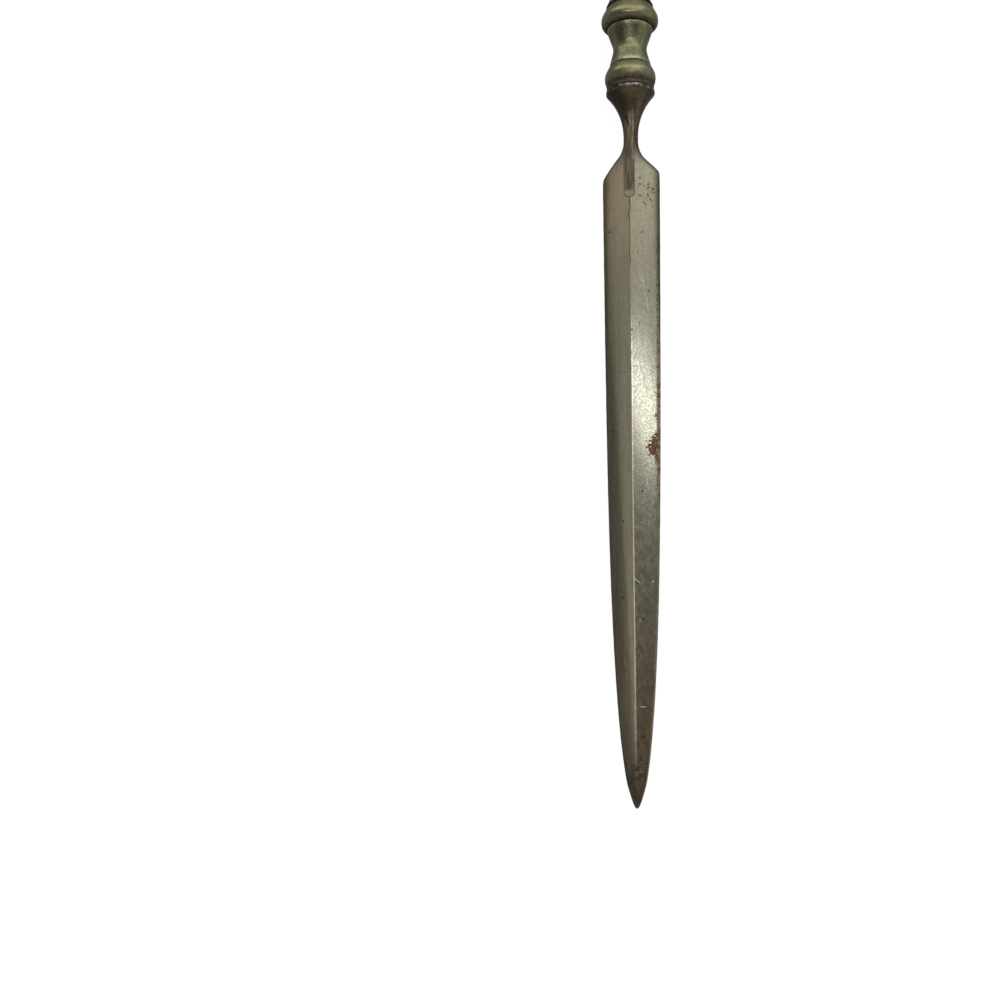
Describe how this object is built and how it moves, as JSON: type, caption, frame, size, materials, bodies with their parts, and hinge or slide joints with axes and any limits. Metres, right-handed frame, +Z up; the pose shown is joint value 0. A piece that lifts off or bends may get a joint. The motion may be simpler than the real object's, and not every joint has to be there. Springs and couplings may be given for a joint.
{
  "type": "letter opener",
  "caption": "Slim letter opener: a steel dagger-shaped blade with a diamond section, waisted neck and trumpet bolster, clamped to a turned brass handle by a screw-on finial.",
  "frame": {"origin": "on the desk under the middle of the length", "axes": "+Y along the length from the blade's tip to the finial, +Z up from the desk, +X across the blade"},
  "size_m": [0.0098, 0.1522, 0.0099],
  "materials": {
    "forged_steel": "satin with brown patina",
    "washer_steel": "dull patina",
    "aged_brass": "dull olive patina",
    "worn_brass": "worn and scratched"
  },
  "bodies": {
    "root": {"blade": "forged_steel", "bolster_washer": "washer_steel", "lower_ring": "aged_brass", "spool": "worn_brass", "upper_ring": "aged_brass", "grip": "aged_brass", "top_collar": "aged_brass", "finial": "aged_brass"}
  },
  "joints": []
}
